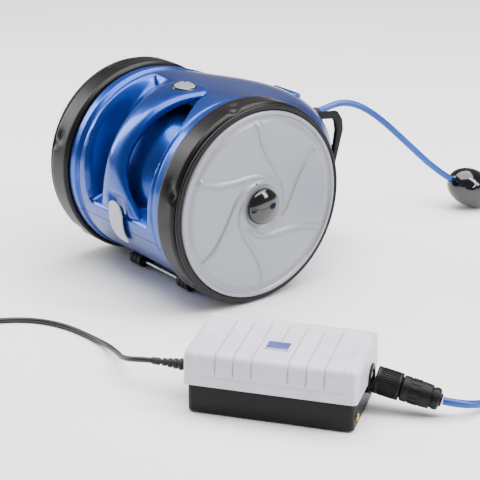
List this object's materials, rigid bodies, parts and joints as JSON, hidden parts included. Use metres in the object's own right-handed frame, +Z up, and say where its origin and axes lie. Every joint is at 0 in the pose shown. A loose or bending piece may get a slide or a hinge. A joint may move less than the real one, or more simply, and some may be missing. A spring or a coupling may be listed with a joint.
{
  "type": "robotic pool cleaner",
  "caption": "Barrel-bodied robotic pool cleaner on large disc wheels, with latched lid, hand hold, floating cable, float and mains power supply.",
  "frame": {"origin": "middle of the underside of cleaner and power supply together, on the floor they stand on", "axes": "+X along the wheel axle towards the cleaner's right, +Y towards its tail, +Z up"},
  "size_m": [0.7087, 0.9702, 0.26],
  "materials": {
    "blue_shell": "metallic blue lacquer over ABS, gloss",
    "silver_plastic": "silver painted ABS, satin",
    "grey_plastic": "light grey moulded ABS, satin",
    "black_plastic": "black moulded polypropylene, fine grain",
    "black_gloss": "black ABS, high gloss",
    "tyre_rubber": "black moulded rubber, satin",
    "black_rubber": "black soft rubber, matt",
    "blue_jacket": "blue polyurethane cable jacket, satin",
    "white_plastic": "off-white ABS, fine spark grain",
    "supply_black": "black ABS, fine grain",
    "badge": "blank printed label, satin",
    "steel": "stainless steel, turned",
    "bronze": "sintered bronze",
    "brass": "nickel-free brass, turned",
    "copper": "enamelled copper winding under varnish",
    "mesh": "off-white polypropylene mesh"
  },
  "bodies": {
    "root": {"right_axle": "steel", "right_drive_motor": "steel", "right_side_plate": "black_plastic", "left_axle": "steel", "left_drive_motor": "steel", "left_side_plate": "black_plastic", "lower_shell": "blue_shell", "lid_hinge_pin": "steel", "suction_plate": "black_plastic", "filter_basket": "mesh", "pump_motor": "steel", "pump_duct": "black_plastic", "outlet_grille": "black_plastic", "cable_gland": "black_rubber", "front_roller_axle": "steel", "tail_bracket": "black_plastic", "tail_roller_pin": "steel", "supply_base": "supply_black", "supply_lid": "white_plastic", "supply_badge": "badge", "supply_left_foot": "black_rubber", "supply_right_foot": "black_rubber", "supply_transformer_core": "steel", "supply_transformer_winding": "copper", "supply_screw_cap": "brass", "supply_socket": "black_plastic", "supply_strain_relief": "black_rubber", "connector_body": "black_plastic", "cable_to_float": "blue_jacket", "cable_from_float": "blue_jacket", "cable_coil": "blue_jacket", "cable_to_supply": "blue_jacket", "cable_float": "black_gloss", "mains_lead": "black_rubber", "mains_lead_coil": "black_rubber", "mains_plug": "black_rubber"},
    "right_wheel": {"right_tyre": "tyre_rubber", "right_wheel": "black_plastic", "right_axle_bush": "bronze", "right_wheel_disc": "silver_plastic", "right_hub_cap": "black_gloss"},
    "right_pinion": {"right_drive_pinion": "white_plastic"},
    "left_wheel": {"left_tyre": "tyre_rubber", "left_wheel": "black_plastic", "left_axle_bush": "bronze", "left_wheel_disc": "silver_plastic", "left_hub_cap": "black_gloss"},
    "left_pinion": {"left_drive_pinion": "white_plastic"},
    "lid": {"upper_shell": "blue_shell", "handle": "blue_shell", "handle_inset": "silver_plastic"},
    "latch": {"latch_leaf": "grey_plastic"},
    "impeller": {"impeller": "white_plastic"},
    "front_flap": {"front_intake_flap": "black_rubber"},
    "rear_flap": {"rear_intake_flap": "black_rubber"},
    "right_front_roller": {"right_front_roller": "black_rubber"},
    "left_front_roller": {"left_front_roller": "black_rubber"},
    "tail_roller": {"tail_roller": "black_rubber"},
    "coupling_ring": {"connector_ring": "black_plastic"}
  },
  "joints": [
    {"name": "right_wheel_spin", "type": "hinge", "parent": "root", "child": "right_wheel", "pos_m": [-0.04279, 0.01491, 0.13], "axis": [1, 0, 0], "continuous": true},
    {"name": "left_wheel_spin", "type": "hinge", "parent": "root", "child": "left_wheel", "pos_m": [-0.28279, 0.01491, 0.13], "axis": [1, 0, 0], "continuous": true},
    {"name": "right_pinion_spin", "type": "hinge", "parent": "root", "child": "right_pinion", "pos_m": [-0.05479, -0.03315, 0.15775], "axis": [1, 0, 0], "continuous": true},
    {"name": "left_pinion_spin", "type": "hinge", "parent": "root", "child": "left_pinion", "pos_m": [-0.27079, -0.03315, 0.15775], "axis": [1, 0, 0], "continuous": true},
    {"name": "lid_hinge", "type": "hinge", "parent": "root", "child": "lid", "pos_m": [-0.16279, 0.17317, 0.21415], "axis": [-1, 0, 0], "range_deg": [0, 70]},
    {"name": "latch_swing", "type": "hinge", "parent": "lid", "child": "latch", "pos_m": [-0.16279, -0.10976, 0.11557], "axis": [-1, 0, 0], "range_deg": [0, 40]},
    {"name": "impeller_spin", "type": "hinge", "parent": "root", "child": "impeller", "pos_m": [-0.16279, 0.13491, 0.114], "axis": [0, 1, 0], "continuous": true},
    {"name": "front_flap_lift", "type": "hinge", "parent": "root", "child": "front_flap", "pos_m": [-0.16279, -0.01159, 0.014], "axis": [1, 0, 0], "range_deg": [0, 50]},
    {"name": "rear_flap_lift", "type": "hinge", "parent": "root", "child": "rear_flap", "pos_m": [-0.16279, 0.04141, 0.014], "axis": [-1, 0, 0], "range_deg": [0, 50]},
    {"name": "right_front_roller_spin", "type": "hinge", "parent": "root", "child": "right_front_roller", "pos_m": [-0.10979, -0.03415, 0.0085], "axis": [1, 0, 0], "continuous": true},
    {"name": "left_front_roller_spin", "type": "hinge", "parent": "root", "child": "left_front_roller", "pos_m": [-0.21579, -0.03415, 0.0085], "axis": [1, 0, 0], "continuous": true},
    {"name": "tail_roller_spin", "type": "hinge", "parent": "root", "child": "tail_roller", "pos_m": [-0.16279, 0.19091, 0.011], "axis": [1, 0, 0], "continuous": true},
    {"name": "coupling_ring_turn", "type": "hinge", "parent": "root", "child": "coupling_ring", "pos_m": [0.30263, -0.06017, 0.03188], "axis": [0.7943, 0.5708, -0.2079], "range_deg": [0, 120]}
  ],
  "couplings": [
    {"joint": "right_pinion_spin", "follows": "right_wheel_spin", "ratio": 4},
    {"joint": "left_pinion_spin", "follows": "left_wheel_spin", "ratio": 4}
  ]
}
